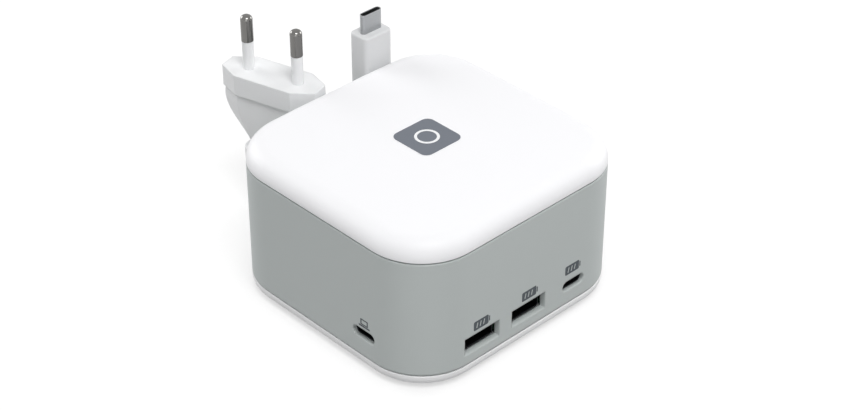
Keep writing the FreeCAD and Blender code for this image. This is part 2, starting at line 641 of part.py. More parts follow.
def add_fasteners():
    """Feet, base screws, board spacers and board screws, each kind as one group."""
    feet, base_screws, spacers, board_screws = [], [], [], []
    for i, (x, y) in enumerate(corners(POST_X, POST_Y), 1):
        rubber = cylinder(f"foot_{i}", "foot_radius", "foot_drop + foot_recess", x, y)
        doc.recompute()
        foot = doc.addObject("Part::Chamfer", f"foot_{i}_bevel")
        foot.Base = rubber
        bevel = number_of(rubber, "foot_bevel")
        foot.Edges = [(int(edge[4:]), bevel, bevel) for edge in edges_at(rubber, "0 * foot_drop")]
        feet.append(foot)
        seat = "foot_drop + foot_recess"
        head = cylinder(f"screw_head_{i}", "screw_head_radius", "screw_head", x, y, seat)
        shank = cylinder(f"screw_shank_{i}", "screw_radius", "screw_length", x, y, f"{seat} + screw_head")
        base_screws.append(fuse(f"base_screw_{i}", [head, shank]))
    for i, (x, y) in enumerate(corners(PILLAR_X, PILLAR_Y), 1):
        prism = doc.addObject("Part::Prism", f"spacer_prism_{i}")
        prism.Polygon = 6
        bind(prism, "Circumradius", "spacer_radius")
        bind(prism, "Height", SPACER_HEIGHT)
        place(prism, x, y, HUB_TOP)
        reach = "stud_length + board_thick"
        stud = cylinder(f"spacer_stud_{i}", "stud_radius", reach, x, y, f"{HUB_LOW} - stud_length")
        whole = fuse(f"spacer_whole_{i}", [prism, stud])
        depth = "2 * stud_length"
        foot = f"{POWER_LOW} - {depth}"
        bore = cylinder(f"spacer_bore_{i}", "stud_radius + fit_gap / 3", depth, x, y, foot)
        spacers.append(cut(f"spacer_{i}", whole, bore))
        pan = cylinder(f"board_screw_pan_{i}", "2 * stud_radius", "stud_radius", x, y, POWER_TOP)
        shank = cylinder(f"board_screw_shank_{i}", "stud_radius", reach, x, y, f"{POWER_LOW} - stud_length")
        board_screws.append(fuse(f"board_screw_{i}", [pan, shank]))
    group("rubber_feet", feet)
    group("base_screws", base_screws)
    group("board_spacers", spacers)
    group("board_screws", board_screws)


def add_board(label, margin, low):
    """A circuit board whose bevelled corners clear the screw posts, with four holes for the spacers."""
    diagonal = 2 ** 0.5
    corner = f"2 * (post_inset - {margin}) + {diagonal} * (post_radius + board_gap)"
    body = new_body(label)
    sketch = new_sketch(body, "outline", "XY_Plane", low)
    rectangle(sketch, f"case_width - 2 * {margin}", f"case_depth - 2 * {margin}")
    sheet = pad(body, sketch, "board_thick")
    uprights = [f"Edge{i}" for i, edge in enumerate(sheet.Shape.Edges, 1) if edge.BoundBox.ZLength > 1e-3]
    dress(body, "Chamfer", sheet, uprights, "Size", corner)
    holes = new_sketch(body, "holes", "XY_Plane", low)
    four_circles(holes, "stud_radius + fit_gap", PILLAR_X, PILLAR_Y)
    pocket(body, holes, "board_thick", True)


def add_boards():
    """The hub board at the level of the sockets, and the power board above it, with what stands on them."""
    add_board("hub_board", BOARD_INSET, HUB_LOW)
    add_board("power_board", "power_margin", POWER_LOW)
    node(box("chip_block", "chip_side", "chip_side", "chip_height", "0", "chip_y", HUB_TOP), "hub_chip")
    behind = f"{PILLAR_Y} + link_step"
    node(box("link_block", "link_length", "link_width", SPACER_HEIGHT, "0", behind, HUB_TOP), "board_link")
    add_transformer()
    add_choke_and_capacitors()
    add_heat_sink()


def add_choke_and_capacitors():
    """A ring choke beside the rear pillar, and two cans, one in front of it and one beside that."""
    away = f"(choke_radius + choke_wire + 2 * stud_radius + board_gap) / {2 ** 0.5}"
    x, y = f"{PILLAR_X} + {away}", f"{PILLAR_Y} - {away}"
    coil = cylinder("choke_coil", "choke_radius + choke_wire", "2 * choke_wire", x, y, POWER_TOP)
    eye = cylinder("choke_eye", "choke_radius - choke_wire", "2 * choke_wire", x, y, POWER_TOP)
    node(cut("choke_ring", coil, eye), "mains_choke")
    first = (x, f"{y} - choke_radius - choke_wire - board_gap - can_radius")
    second = (f"{first[0]} + can_radius + board_gap", f"{first[1]} - 2 * can_radius")
    cans = [
        cylinder(f"capacitor_{i}", "can_radius", "can_height", *spot, POWER_TOP)
        for i, spot in enumerate((first, second), 1)
    ]
    group("bulk_capacitors", cans)


def add_transformer():
    """A ferrite frame round a wound bobbin."""
    across = f"-({BOARD_LEFT} - core_margin - core_length / 2)"
    spot = (across, f"{SCREW_FRONT} - core_clear - core_depth / 2")
    outer = box("core_block", "core_length", "core_depth", "core_height", *spot, POWER_TOP)
    inner = ("core_length - 2 * core_leg", "core_height - 2 * core_yoke")
    sill = f"{POWER_TOP} + core_yoke"
    window = box("core_window", inner[0], "core_depth + coil_reach", inner[1], *spot, sill)
    node(cut("core_frame", outer, window), "transformer_core")
    wound = (f"{inner[0]} - 2 * fit_gap", "core_depth + 2 * coil_reach", inner[1])
    coil = box("coil_block", *wound, *spot, sill)
    node(coil, "transformer_coil")


def add_heat_sink():
    """An extruded comb of fins that stands on the power board."""
    count = 6
    step = f"(sink_length - sink_fin) / {count - 1}"
    end = f"-({BOARD_LEFT} - sink_margin)"
    y = f"-({PILLAR_Y} + 2 * stud_radius + board_gap + sink_depth / 2)"
    plate = ("sink_length", "sink_depth", "sink_plate")
    fins = [box("sink_base", *plate, f"{end} + sink_length / 2", y, POWER_TOP)]
    for i in range(count):
        spot = (f"{end} + sink_fin / 2 + {step} * {i}", y, POWER_TOP)
        fins.append(box(f"sink_fin_{i + 1}", "sink_fin", "sink_depth", "sink_height", *spot))
    node(fuse("sink_comb", fins), "heat_sink")


def add_shell(label, width, height, depth, wall, oval):
    """The drawn sheet-metal shell of a socket; its mouth is at its own y = 0 and it runs along +Y."""
    body = new_body(label)
    outside = new_sketch(body, "outside", "XZ_Plane")
    socket_outline(outside, width, height, oval)
    pad(body, outside, depth, True)
    inside = new_sketch(body, "inside", "XZ_Plane")
    socket_outline(inside, f"{width} - 2 * {wall}", f"{height} - 2 * {wall}", oval)
    pocket(body, inside, depth)
    return body


def add_tongue(label, width, height, depth, wall, oval, tongue):
    """The insulator of a socket: a block that fills the shell's rear, and the tongue before it.

    tongue gives the tongue's width, thickness, tip behind the mouth, root and rise above the middle.
    """
    wide, thick, tip, root, rise = tongue
    body = new_body(label)
    block = new_sketch(body, "block", "XZ_Plane", f"-({root})")
    inset = f"2 * ({wall} + fit_gap / 3)"
    socket_outline(block, f"{width} - {inset}", f"{height} - {inset}", oval)
    pad(body, block, f"{depth} - ({root})", True)
    front = new_sketch(body, "front", "XZ_Plane", f"-({root}) - fit_gap", y=rise)
    rectangle(front, wide, thick)
    pad(body, front, f"{root} - ({tip}) + fit_gap")
    return body


def add_usb_a(count, x):
    """A wide socket on the hub board: shell, tongue and four contacts below the tongue."""
    spot = (x, FRONT_MOUTH, SOCKET_LEVEL)
    size = ("usb_a_width", "usb_a_height", "usb_a_depth", "usb_a_wall", False)
    tongue = ("usb_a_tongue", "usb_a_tongue_thick", "usb_a_tip", "usb_a_root", "usb_a_tongue_thick / 2")
    place(add_shell(f"usb_a_shell_{count}", *size), *spot)
    place(add_tongue(f"usb_a_tongue_{count}", *size, tongue), *spot)
    strips = []
    for i in range(4):
        middle = f"{FRONT_MOUTH} + usb_a_tip + board_gap + contact_length / 2"
        across = f"{x} + contact_pitch * {i - 1.5}"
        strip = ("contact_width", "contact_length", "contact_thick")
        below = f"{SOCKET_LEVEL} - contact_thick"
        strips.append(box(f"strip_{count}_{i + 1}", *strip, across, middle, below))
    group(f"usb_a_contacts_{count}", strips)


def add_usb_c(name, x, y, level, turn):
    """An oval socket that reaches into the wall, on a small riser board flush with the hub board's edge."""
    size = ("usb_c_width", "usb_c_height", "usb_c_depth", "usb_c_wall", True)
    tongue = ("usb_c_tongue", "usb_c_tongue_thick", "usb_c_tip", "usb_c_root", "0")
    place(add_shell(f"usb_c_shell_{name}", *size), x, y, level, turn)
    place(add_tongue(f"usb_c_tongue_{name}", *size, tongue), x, y, level, turn)
    riser = new_body(f"riser_{name}")
    start = f"({BOARD_INSET} - usb_c_recess)"
    sketch = new_sketch(riser, "outline", "XY_Plane", y=f"({start} + usb_c_depth) / 2")
    rectangle(sketch, "usb_c_width", f"usb_c_depth - {start}")
    pad(riser, sketch, f"{level} - usb_c_height / 2 - {HUB_TOP}")
    place(riser, x, y, HUB_TOP, turn)


def add_display_socket():
    """A display socket with sloped lower corners, on the right face."""
    spot = (SIDE_MOUTH, "display_place", f"{HUB_TOP} + display_height / 2")
    body = new_body("display_shell")
    outside = new_sketch(body, "outside", "XZ_Plane")
    display_outline(outside, "0")
    pad(body, outside, "display_depth", True)
    inside = new_sketch(body, "inside", "XZ_Plane")
    display_outline(inside, "display_wall")
    pocket(body, inside, "display_depth")
    place(body, *spot, turn=90)
    tongue = new_body("display_tongue")
    block = new_sketch(tongue, "block", "XZ_Plane", "-display_root")
    display_outline(block, "(display_wall + fit_gap / 3)")
    pad(tongue, block, "display_depth - display_root", True)
    front = new_sketch(tongue, "front", "XZ_Plane", "-display_root - fit_gap", y="display_tongue_rise")
    rectangle(front, "display_tongue", "display_tongue_thick")
    pad(tongue, front, "display_root - display_tip + fit_gap")
    place(tongue, *spot, turn=90)


def display_outline(sketch, inset):
    half, rise, slope = f"(display_width / 2 - {inset})", f"(display_height / 2 - {inset})", "display_bevel"
    profile(sketch, [
        (f"-({half} - {slope})", f"-{rise}"),
        (f"{half} - {slope}", f"-{rise}"),
        (half, f"-({rise} - {slope})"),
        (half, rise),
        (f"-{half}", rise),
        (f"-{half}", f"-({rise} - {slope})"),
    ])


def add_network_socket():
    """A network socket with a stepped mouth and eight contacts, on the right face."""
    spot = (SIDE_MOUTH, "-network_place", HUB_TOP)
    body = new_body("network_housing")
    outside = new_sketch(body, "outside", "XZ_Plane", y="network_height / 2")
    rectangle(outside, "network_width", "network_height")
    pad(body, outside, "network_depth", True)
    steps = [
        ("mouth", "network_mouth", "network_mouth_height", "network_mouth_low + network_mouth_height / 2"),
        ("latch", "network_latch", "network_latch_height", "network_mouth_low - network_latch_height / 2"),
    ]
    for name, width, height, middle in steps:
        sketch = new_sketch(body, name, "XZ_Plane", y=middle)
        rectangle(sketch, width, height)
        pocket(body, sketch, "network_hollow")
    place(body, *spot, turn=90)
    wires = []
    for i in range(8):
        across = f"-network_place + wire_pitch * {i - 3.5}"
        under_roof = f"{HUB_TOP} + network_mouth_low + network_mouth_height - wire_thick"
        behind = f"{SIDE_MOUTH} - network_hollow + wire_length / 2"
        wire = ("wire_length", "wire_thick", "wire_thick")
        wires.append(box(f"network_wire_{i + 1}", *wire, behind, across, under_roof))
    group("network_contacts", wires)


def add_gland(label, x, rise, radius, tail, cord, ribs):
    """A turned cord gland: a flange inside the wall, a neck in the hole and a ribbed, tapered tail."""
    collar, tip = f"({radius} + gland_collar)", f"({cord} + gland_skin)"
    start = "(gland_collar_length + gland_groove)"
    step = f"({tail} - {start} - gland_groove) / {ribs}"
    outline = [
        ("0", "-band_wall - gland_flange_thick"),
        (f"{radius} + gland_flange", "-band_wall - gland_flange_thick"),
        (f"{radius} + gland_flange", "-band_wall"),
        (radius, "-band_wall"),
        (radius, "0"),
        (collar, "0"),
        (collar, "gland_collar_length"),
    ]
    for i in range(ribs):
        wide = f"{collar} - ({collar} - {tip}) * {(i + 1) / ribs}"
        foot = f"{start} + {step} * {i}"
        outline += [
            (f"{wide} - gland_groove", foot),
            (f"{wide} - gland_groove", f"{foot} + 2 * gland_groove"),
            (wide, f"{foot} + 3 * gland_groove"),
            (wide, f"{start} + {step} * {i + 1} - gland_groove"),
        ]
    outline += [(tip, tail), ("0", tail)]
    body = new_body(label)
    turned(body, "outline", outline)
    body.Placement = Placement(Vector(), Rotation(Vector(1, 0, 0), -90))
    for axis, text in zip("xyz", (x, "case_depth / 2", f"{BAND_LOW} + {rise}")):
        bind(body, "Placement.Base." + axis, text)


def add_hank():
    """Three layers of the folded mains cord as one plain solid, and the strap round its near run.

    Returns the hank's shape with its middle filled.
    """
    body = new_body("mains_hank")
    across = "case_width / 2 + hank_gap + cord_radius"
    steps = []
    for name, side, kind in (("outside", "+", pad), ("inside", "-", pocket)):
        outline = new_sketch(body, name, "XY_Plane", "tie_wall")
        width = f"2 * (hank_fold {side} cord_radius)"
        rounded(outline, width, f"hank_run + {width}", f"{OVAL_END} * {width}")
        steps.append(kind(body, outline, HANK_HEIGHT, kind is pocket))
    place(body, f"{across} + hank_fold", "hank_place")
    wide, tall = "2 * (cord_radius + fit_gap)", f"({HANK_HEIGHT} + fit_gap)"
    strap = (f"{wide} + 2 * tie_wall", "tie_width", f"{tall} + 2 * tie_wall")
    block = box("tie_block", *strap, across, "hank_place")
    window = box("tie_window", wide, "2 * tie_width", tall, across, "hank_place", "tie_wall")
    node(cut("tie_strap", block, window), "hank_tie")
    doc.recompute()
    filled = steps[0].Shape.copy()
    filled.Placement = body.Placement
    return filled


def cord_path(label, points):
    """A path of straight runs and of tangent arcs as large as the runs allow."""
    spots = [Vector(*point) for point in points]
    edges, radii, start = [], [], spots[0]
    for before, corner, after in zip(spots, spots[1:], spots[2:]):
        into, out = (corner - before).normalize(), (after - corner).normalize()
        half = into.getAngle(out) / 2
        reach = ARC_SHARE * min(corner.distanceToPoint(before), corner.distanceToPoint(after))
        radius = reach / math.tan(half)
        first, last = corner - into * reach, corner + out * reach
        inward = (out - into).normalize()
        middle = corner + inward * (radius / math.cos(half) - radius)
        edges += [Part.LineSegment(start, first).toShape(), Part.Arc(first, middle, last).toShape()]
        radii.append(f"{radius:.1f}")
        start = last
    edges.append(Part.LineSegment(start, spots[-1]).toShape())
    print(f"{label}: radii {', '.join(radii)}")
    return Part.Wire(edges)


def add_cord(label, points, radius, hank=None):
    """A plain tube along a lead's route; where it runs into the hank, it ends on the hank's faces."""
    path = cord_path(label, points)
    r = number_of(sizes, radius)
    ring = Part.Circle(Vector(*points[0]), Vector(*points[1]) - Vector(*points[0]), r)
    tube = path.makePipeShell([Part.Wire(ring.toShape())], True, False)
    whole = math.pi * r * r * path.Length
    if abs(tube.Volume - whole) > 0.01 * whole:
        raise RuntimeError(f"{label}: {tube.Volume:.0f} mm3 where {whole:.0f} mm3 is right")
    print(f"{label}: {path.Length:.0f} mm long")
    thing = doc.addObject("Part::Feature", label)
    thing.Shape = tube.cut(hank) if hank else tube
    node(thing, label)


def plug_outline(sketch, width, thick):
    """The long eight-sided outline of the mains plug, its broad sides across the sketch's X axis."""
    a, w = f"({thick}) / 2", f"({width}) / 2"
    f, e = f"({width}) * plug_flat / plug_width / 2", f"({thick}) * plug_end / plug_thick / 2"
    profile(sketch, [
        (a, f"-{f}"), (a, f), (e, w), (f"-{e}", w),
        (f"-{a}", f), (f"-{a}", f"-{f}"), (f"-{e}", f"-{w}"), (e, f"-{w}"),
    ])


def add_mains_plug():
    """The two-pin plug: a head, a grip that narrows in a soft curve, two ears and a ribbed relief."""
    body = new_body("mains_plug")
    head = new_sketch(body, "head", "XY_Plane", "-plug_head")
    plug_outline(head, "plug_width", "plug_thick")
    pad(body, head, "plug_head")
    full, slim = "(plug_width - 2 * plug_step)", "(plug_thick - 2 * plug_step)"
    sections = []
    for i, (share, across, through) in enumerate(GRIP):
        section = new_sketch(body, f"grip_{i}", "XY_Plane", f"-plug_head - plug_grip * {share}")
        width = f"({full} - ({full} - plug_waist) * {across})"
        plug_outline(section, width, f"({slim} - ({slim} - plug_waist_thick) * {through})")
        sections.append(section)
    grip = body.newObject("PartDesign::AdditiveLoft", "mains_plug_grip")
    grip.Profile = sections[0]
    grip.Sections = sections[1:]
    doc.recompute()
    ears = new_sketch(body, "ears", "XY_Plane", "-plug_head - plug_grip - ear_height")
    rounded(ears, "plug_waist_thick", "ear_width", "ear_edge")
    pad(body, ears, "ear_height")
    place(body, "-plug_left", PLUG_Y, "plug_face", number_of(body, "plug_turn"))
    relief = new_body("plug_relief")
    ribs = 3
    tip = "(cord_radius + gland_skin)"
    outline = [("0", "0"), ("relief_radius", "0")]
    for i in range(ribs):
        wide = f"(relief_radius - (relief_radius - {tip}) * {i / ribs})"
        top, step = f"-relief_length * {i} / {ribs}", f"relief_length / {ribs}"
        outline += [
            (wide, f"{top} - {step} / 2"),
            (f"{wide} - relief_groove", f"{top} - {step} / 2"),
            (f"{wide} - relief_groove", f"{top} - {step}"),
        ]
        if i < ribs - 1:
            narrow = f"(relief_radius - (relief_radius - {tip}) * {(i + 1) / ribs})"
            outline.append((narrow, f"{top} - {step}"))
    outline.append(("0", "-relief_length"))
    turned(relief, "outline", outline)
    place(relief, "-plug_left", PLUG_Y, "plug_face - plug_head - plug_grip - ear_height")


def add_plug_pins():
    """The insulated feet of the two pins, and their bare, round-tipped ends."""
    sleeves, pins = [], []
    for i, side in enumerate(("-", "+"), 1):
        reach = f"({side} pin_pitch / 2)"
        spot = (f"-plug_left - {reach} * sin(plug_turn)", f"{PLUG_Y} + {reach} * cos(plug_turn)")
        sleeves.append(cylinder(f"pin_sleeve_{i}", "sleeve_radius", "sleeve_length", *spot, "plug_face"))
        foot = "plug_face + sleeve_length"
        bare = cylinder(f"pin_bare_{i}", "pin_radius", "pin_length - sleeve_length", *spot, foot)
        doc.recompute()
        pin = doc.addObject("Part::Fillet", f"pin_{i}")
        pin.Base = bare
        radius = number_of(bare, "pin_round")
        tip = edges_at(bare, "plug_face + pin_length")
        pin.Edges = [(int(edge[4:]), radius, radius) for edge in tip]
        pins.append(pin)
    group("pin_sleeves", sleeves)
    group("plug_pins", pins)


def add_lead_plug():
    """The lead's plug: a block-shaped boot with a tapered neck, and a drawn oval tip."""
    spot = ("tip_right", BOOT_Y, "boot_top")
    boot = new_body("lead_plug")
    outline = new_sketch(boot, "outline", "XY_Plane", "-boot_length")
    rounded(outline, "boot_width", "boot_thick", "boot_edge")
    block = pad(boot, outline, "boot_length")
    rims = edges_at(block, "0 * boot_length") + edges_at(block, "-boot_length")
    dress(boot, "Fillet", block, rims, "Radius", "boot_rim")
    turned(boot, "neck", [
        ("0", "-boot_length + boot_rim"),
        ("neck_radius", "-boot_length + boot_rim"),
        ("neck_radius", "-boot_length - neck_straight"),
        ("lead_radius + gland_skin", "-boot_length - neck_length"),
        ("0", "-boot_length - neck_length"),
    ])
    place(boot, *spot)
    tip = new_body("lead_plug_tip")
    outside = new_sketch(tip, "outside", "XY_Plane")
    socket_outline(outside, "tip_width", "tip_thick", True)
    pad(tip, outside, "tip_length")
    inside = new_sketch(tip, "inside", "XY_Plane", "tip_length")
    socket_outline(inside, "tip_width - 2 * tip_wall", "tip_thick - 2 * tip_wall", True)
    pocket(tip, inside, "tip_hollow")
    place(tip, *spot)


def check_and_write():
    """Stops on anything that failed, then writes each sub-part."""
    doc.recompute()
    for thing in doc.Objects:
        if {"Invalid", "Error"} & set(thing.State):
            raise RuntimeError(f"{thing.Name} failed: {thing.State}")
    os.makedirs("parts", exist_ok=True)
    for thing in nodes:
        shape = thing.Shape
        if shape.isNull() or not shape.isValid() or not shape.Solids:
            raise RuntimeError(thing.Label + " is not a valid solid")
        shape.exportStep(f"parts/{thing.Label}.step")
        print(f"{thing.Label}: {len(shape.Solids)} solids, {shape.Volume:.0f} mm3")


add_side_band()
add_top_cap()
add_base_tray()
add_fasteners()
add_boards()
add_usb_a(1, f"-{FRONT_PITCH}")
add_usb_a(2, "0")
add_usb_c("front", FRONT_PITCH, OVAL_FRONT, SOCKET_LEVEL, 0)
add_usb_c("host", OVAL_LEFT, "-host_place", f"({BAND_LOW} + host_rise)", -90)
add_display_socket()
add_network_socket()
add_gland("mains_gland", "mains_place", "gland_rise", "gland_radius", "gland_tail", "cord_radius", 3)
lead_gland = ("lead_gland_rise", "lead_gland_radius", "lead_gland_tail")
add_gland("lead_gland", "-lead_place", *lead_gland, "lead_radius", 2)
hank = add_hank()
add_cord("mains_cord_near", MAINS_NEAR, "cord_radius", hank)
add_cord("mains_cord_far", MAINS_FAR, "cord_radius", hank)
add_mains_plug()
add_plug_pins()
add_cord("lead_cord", LEAD, "lead_radius")
add_lead_plug()
check_and_write()
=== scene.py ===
import math
from itertools import repeat

import bmesh
import bpy
from bpy.props import FloatProperty, FloatVectorProperty, PointerProperty
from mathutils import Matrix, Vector


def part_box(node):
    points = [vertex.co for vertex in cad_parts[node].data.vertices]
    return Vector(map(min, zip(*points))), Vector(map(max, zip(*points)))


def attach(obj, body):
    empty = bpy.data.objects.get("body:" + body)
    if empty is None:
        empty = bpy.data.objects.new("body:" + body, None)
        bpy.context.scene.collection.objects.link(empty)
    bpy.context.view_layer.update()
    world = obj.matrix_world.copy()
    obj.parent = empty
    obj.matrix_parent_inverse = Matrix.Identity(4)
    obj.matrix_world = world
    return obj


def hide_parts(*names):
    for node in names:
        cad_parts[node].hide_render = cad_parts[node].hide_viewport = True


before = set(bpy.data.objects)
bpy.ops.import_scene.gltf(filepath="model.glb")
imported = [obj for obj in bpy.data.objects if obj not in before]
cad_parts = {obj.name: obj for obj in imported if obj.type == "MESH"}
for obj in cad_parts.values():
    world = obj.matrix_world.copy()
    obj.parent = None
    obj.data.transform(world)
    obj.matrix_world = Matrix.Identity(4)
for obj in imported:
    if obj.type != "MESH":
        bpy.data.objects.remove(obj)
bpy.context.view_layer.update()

bl_info = {
    "name": "Docking station looks",
    "version": (1, 0, 0),
    "blender": (4, 5, 0),
    "location": "View3D > Sidebar > Dock",
    "description": "Finishes, prints, badge and studio for the docking station",
    "category": "Object",
}

MM = 0.001

# The faces of the case that carry the prints and the badge, and how far the cap's crown rises over its edge
BAND_LOW, BAND_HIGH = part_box("side_band")
FRONT = BAND_LOW.y
LEFT = BAND_LOW.x
SEAM_LOW = BAND_LOW.z
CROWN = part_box("top_cap")[1].z
CROWN_RISE = 0.8 * MM

# Routes of the leads in millimetres, from the glands to the plugs
MAINS_NEAR = [
    (11, 60, 13), (11, 67.6, 13), (13.2, 75.3, 12), (18.1, 81.7, 9.6), (25.3, 86.3, 6.6),
    (34, 88.1, 4), (43, 87.1, 2.9), (52, 83.4, 3), (61, 78.4, 3.3),
]
MAINS_FAR = [
    (49.6, 55.5, 12), (45.6, 64.2, 11.1), (39, 71.4, 8.6), (30.2, 76.2, 5.4), (20.2, 77.9, 2.8),
    (10.2, 76.5, 2.3), (1.5, 72.2, 2.3), (-5.2, 65.2, 2.4), (-8, 62.14, 6.4), (-8, 62.14, 11),
]
HOST_LEAD = [
    (-0.5, 54, 12), (-0.5, 61, 12), (3.4, 66.9, 9.3), (10.3, 69.5, 5.7), (17.3, 67.2, 2.6),
    (21.3, 61.2, 1.7), (21.8, 54.4, 2.8), (21.5, 49.8, 8), (21.5, 48.35, 14.8), (21.5, 48.35, 23.4),
]

# The hank in millimetres: its middle, the centres and radius of its folds, and the points along a run
HANK_X, HANK_FRONT, HANK_REAR, HANK_FOLD = 62.6, 8.0, 66.0, 13.8
HANK_RUN = (50, 37, 24)
# Its turns, the height of the lowest, the step to the next, and the shares of a step that a rear fold climbs
HANK_TURNS, HANK_LEVEL, HANK_STEP = 3, 3.1, 4.6
HANK_CLIMB = (0.33, 0.67, 1)
# Degrees between the points of a fold
FOLD_STEP = 30

# The strap in millimetres: its corners, the height of its start, its edge, and its tail, out and up
STRAP_CORNER, STRAP_START, STRAP_EDGE = 2.4, 3.7, 0.3
STRAP_TAIL = [
    (0, 1.5), (0, 3.0), (0.1, 4.4), (0.3, 5.6), (0.6, 6.6), (0.9, 7.3), (1.1, 7.7), (1.2, 7.9),
]
# Shares of its width at the last points of the tail, and the steps of its lap's quarter turn
STRAP_TIP = [0.97, 0.88, 0.72, 0.5]
LAP_STEPS = 6

# Prints in millimetres: places along the face from its middle, and heights above the band's lower seam
PRINT_GAP = 0.004
BATTERY_STARTS = (-23.25, -3.0, 15.8)
BATTERY_WIDTH, BATTERY_LOW, BATTERY_HIGH, BATTERY_CORNER = 6.1, 11.3, 14.6, 0.5
BAR_COUNT, BAR_START, BAR_STEP, BAR_WIDTH, BAR_LEAN, BAR_MARGIN = 3, 1.05, 1.4, 0.4, 0.4, 0.75
NUB_GAP, NUB_WIDTH, NUB_MARGIN, NUB_CORNER = 0.2, 0.45, 0.7, 0.15
LAPTOP_MIDDLE = 20.325
SCREEN_HALF, SCREEN_LOW, SCREEN_HIGH, SCREEN_CORNER = 1.625, 11.85, 14.0, 0.25
RIM_SIDE, RIM_LEVEL, GLASS_CORNER = 0.5, 0.45, 0.1
FOOT_HALF, FOOT_LOW, FOOT_HIGH, FOOT_CORNER = 2.375, 11.1, 11.7, 0.2

# The badge: its bevel in millimetres, and the steps round a corner and round the ring
BADGE_BEVEL, BADGE_STEPS, RING_STEPS = 0.06, 10, 64

# Mouldings: the size of the clouds in the colour, and how far they shift the roughness
PLASTIC_IOR = 1.53
CLOUD_MM, CLOUD_GLOSS = 11, 0.04
# Metals: the scale of the grain from front to rear, and how far it shifts the roughness
GRAIN_STRETCH, GRAIN_GLOSS = 0.12, 0.08
# Sockets of a colour Mix node, whose names are shared with its number and vector sockets
MIX_FIRST, MIX_SECOND, MIX_RESULT = 6, 7, 2

# Studio lamps: name, place in metres and watts, all of one size and aimed at one spot
LAMPS = [
    ("key", (-0.2, -0.36, 0.89), 5.35),
    ("corner", (-0.66, -0.66, 0.2), 1.1),
    ("rear", (-0.15, 0.75, 0.3), 2.6),
    ("side", (0.75, -0.15, 0.3), 2.6),
]
LAMP_SIZE, LAMP_AIM = 0.5, Vector((0, 0, 0.03))
# Strength of the sky as light and as background
SKY_LIGHT, SKY_SEEN = 0.27, 1.0
# The floor in metres: half its side, and how far the painted shadow at the case reaches
FLOOR_HALF, PAINTED_SHADOW_REACH = 3.0, 10 * MM
# Its glow at the case, dimmed there as a painted shadow, and in the open, and what it gains between two
# distances from the case
GLOW_IN_PAINTED_SHADOW, GLOW_OPEN, GLOW_FAR = 0.54, 0.68, 0.4
FAR_FROM, FAR_TO = 0.25, 0.9

# The camera, fitted to the photograph: lens and sensor in millimetres, distance and target in metres
LENS, SENSOR, SHIFT_Y = 86.63, 36.0, 0.0083
AZIMUTH, ELEVATION = math.radians(-43.79), math.radians(35.04)
EYE_DISTANCE, EYE_TARGET = 0.6349, Vector((0, 0, 0.0253))


def linear(code):
    """An sRGB hex colour as linear red, green, blue and alpha."""
    parts = [int(code[i : i + 2], 16) / 255 for i in (1, 3, 5)]
    return tuple(c / 12.92 if c <= 0.04045 else ((c + 0.055) / 1.055) ** 2.4 for c in parts) + (1.0,)


def per_metre(size_mm):
    """The texture scale at which one feature is size_mm across."""
    return 1.0 / (size_mm * MM)


def tint(label, words, code):
    """A colour that a user would change."""
    return FloatVectorProperty(
        name=label, description=words, subtype="COLOR", size=4, min=0, max=1, default=linear(code))


def length(label, words, size_mm):
    """A size that a user would change."""
    return FloatProperty(
        name=label, description=words, unit="LENGTH", subtype="DISTANCE", default=size_mm * MM)


class DockColours(bpy.types.PropertyGroup):
    """Colours that a user would change."""

    cap: tint("Cap", "White of the cap", "#F7F7F9")
    band: tint("Band", "Grey of the band", "#C1C7C6")
    tray: tint("Tray", "White of the base tray", "#F6F6F7")
    ink: tint("Ink", "Printed marks on the band", "#40474D")
    badge: tint("Badge", "Slate grey of the badge on the cap", "#666C76")
    cord: tint("Cord", "Pale grey of the leads", "#D6D8D9")
    plug: tint("Plug", "Pale grey of the mains plug", "#F1F2F3")
    boot: tint("Boot", "Pale grey of the small plug", "#D9DADB")


class DockSizes(bpy.types.PropertyGroup):
    """Sizes that a user would change."""

    badge_side: length("Badge side", "Side of the badge on the cap", 15.8)
    badge_corner: length("Badge corner", "Corner radius of the badge", 2.6)
    badge_rise: length("Badge rise", "How far the badge stands above the cap", 0.12)
    ring_radius: length("Ring radius", "Outer radius of the plain ring on the badge", 3.9)
    ring_width: length("Ring width", "Width of that ring", 0.9)
    ink_rise: length("Ink", "Thickness of a print", 0.02)
    mains_radius: length("Mains cord", "Radius of the mains cord", 2.3)
    lead_radius: length("Lead", "Radius of the USB-C lead", 1.6)
    strap: length("Strap", "Thickness of the strap that ties the hank", 0.8)


def put(tree, kind, values=(), links=(), **settings):
    """Adds one node with its settings, socket values and links."""
    node = tree.nodes.new(kind)
    for name, value in settings.items():
        setattr(node, name, value)
    for name, value in values:
        node.inputs[name].default_value = value
    for name, source in links:
        tree.links.new(source, node.inputs[name])
    return node


def fresh_material(name, **sockets):
    """A material with only its shader, whose constant sockets are set here."""
    material = bpy.data.materials.new(name)
    material.use_nodes = True
    shader = material.node_tree.nodes["Principled BSDF"]
    for key, value in sockets.items():
        shader.inputs[key.replace("_", " ")].default_value = value
    return material, material.node_tree, shader


